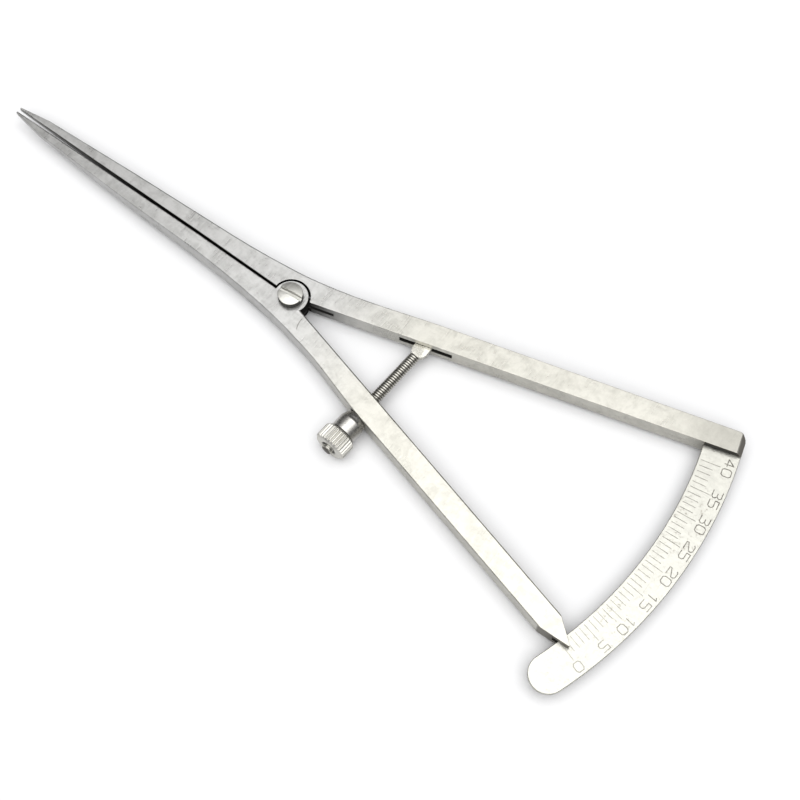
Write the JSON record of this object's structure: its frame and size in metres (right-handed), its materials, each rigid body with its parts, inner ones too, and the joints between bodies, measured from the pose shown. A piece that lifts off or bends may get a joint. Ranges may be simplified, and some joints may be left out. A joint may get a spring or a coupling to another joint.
{
  "type": "screw-set caliper",
  "caption": "Slim steel caliper with fine tips, a lap joint, a thumb-nut screw that sets the opening, and a curved millimetre scale read by a pointed handle.",
  "frame": {"origin": "on the joint axis, at the flat back face of the joint", "axes": "+X from the joint towards the scale, +Y towards the arm that carries the scale, +Z out of the front face, along the joint axis"},
  "size_m": [0.1705, 0.065, 0.0074],
  "materials": {
    "arm_steel": "satin, finely brushed across the arms",
    "blade_steel": "satin with engraved graduations",
    "screw_steel": "fine turned",
    "rod_steel": "cut thread",
    "nut_steel": "turned and straight knurled",
    "spring_steel": "drawn wire"
  },
  "bodies": {
    "scale_arm": {"scale_arm": "arm_steel", "scale_blade": "blade_steel", "blade_pins": "arm_steel", "pivot_screw": "screw_steel", "eye_pin": "arm_steel", "return_spring": "spring_steel"},
    "pointer_arm": {"pointer_arm": "arm_steel"},
    "adjusting_screw": {"adjusting_screw": "rod_steel"},
    "thrust_collar": {"thrust_collar": "nut_steel"},
    "thumb_nut": {"thumb_nut": "nut_steel"}
  },
  "joints": [
    {"name": "arm_pivot", "type": "hinge", "parent": "scale_arm", "child": "pointer_arm", "pos_m": [0, 0, 0], "axis": [0, 0, 1], "range_deg": [-0.55, 30.09], "deforming": ["return_spring"]},
    {"name": "screw_swivel", "type": "hinge", "parent": "scale_arm", "child": "adjusting_screw", "pos_m": [0.02786, 0.01029, 0.0021], "axis": [0, 0, 1], "range_deg": [-0.4, 15.2]},
    {"name": "collar_swivel", "type": "hinge", "parent": "pointer_arm", "child": "thrust_collar", "pos_m": [0.02617, -0.01404, 0.0021], "axis": [0, 0, 1], "range_deg": [-15.2, 0.4]},
    {"name": "nut_spin", "type": "hinge", "parent": "thrust_collar", "child": "thumb_nut", "pos_m": [0.02617, -0.01404, 0.0021], "axis": [-0.0692, -0.9976, 0], "range_deg": [-10200, 250]}
  ],
  "couplings": [
    {"joint": "screw_swivel", "follows": "arm_pivot", "ratio": 0.5},
    {"joint": "collar_swivel", "follows": "arm_pivot", "ratio": -0.5},
    {"joint": "nut_spin", "follows": "arm_pivot", "ratio": -336}
  ]
}
